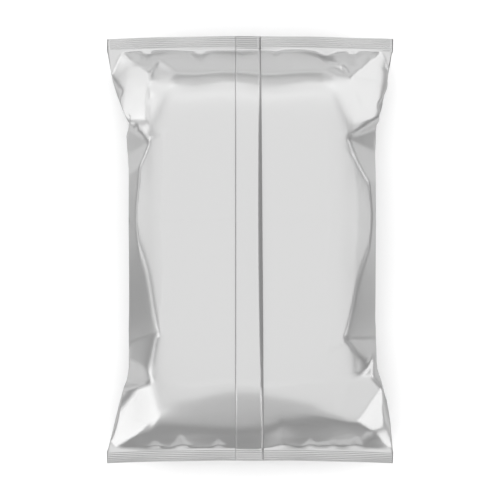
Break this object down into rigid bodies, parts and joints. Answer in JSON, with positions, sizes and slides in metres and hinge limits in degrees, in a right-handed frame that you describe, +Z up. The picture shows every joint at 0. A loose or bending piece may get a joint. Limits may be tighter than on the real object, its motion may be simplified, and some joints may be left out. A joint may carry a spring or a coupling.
{
  "type": "pillow pouch",
  "caption": "Filled and heat-sealed film pillow pouch lying on its front, with ribbed end crimps and a folded fin seal along its back.",
  "frame": {"origin": "middle of the pouch's outline seen from above, on the surface it lies on", "axes": "+Z up, out of the back panel that carries the fin seal; +Y along the fin seal from one end crimp to the other; X along the crimps"},
  "size_m": [0.2, 0.299, 0.0577],
  "materials": {
    "film": "satin silver-white laminated film"
  },
  "bodies": {
    "root": {"pouch": "film"}
  },
  "joints": []
}
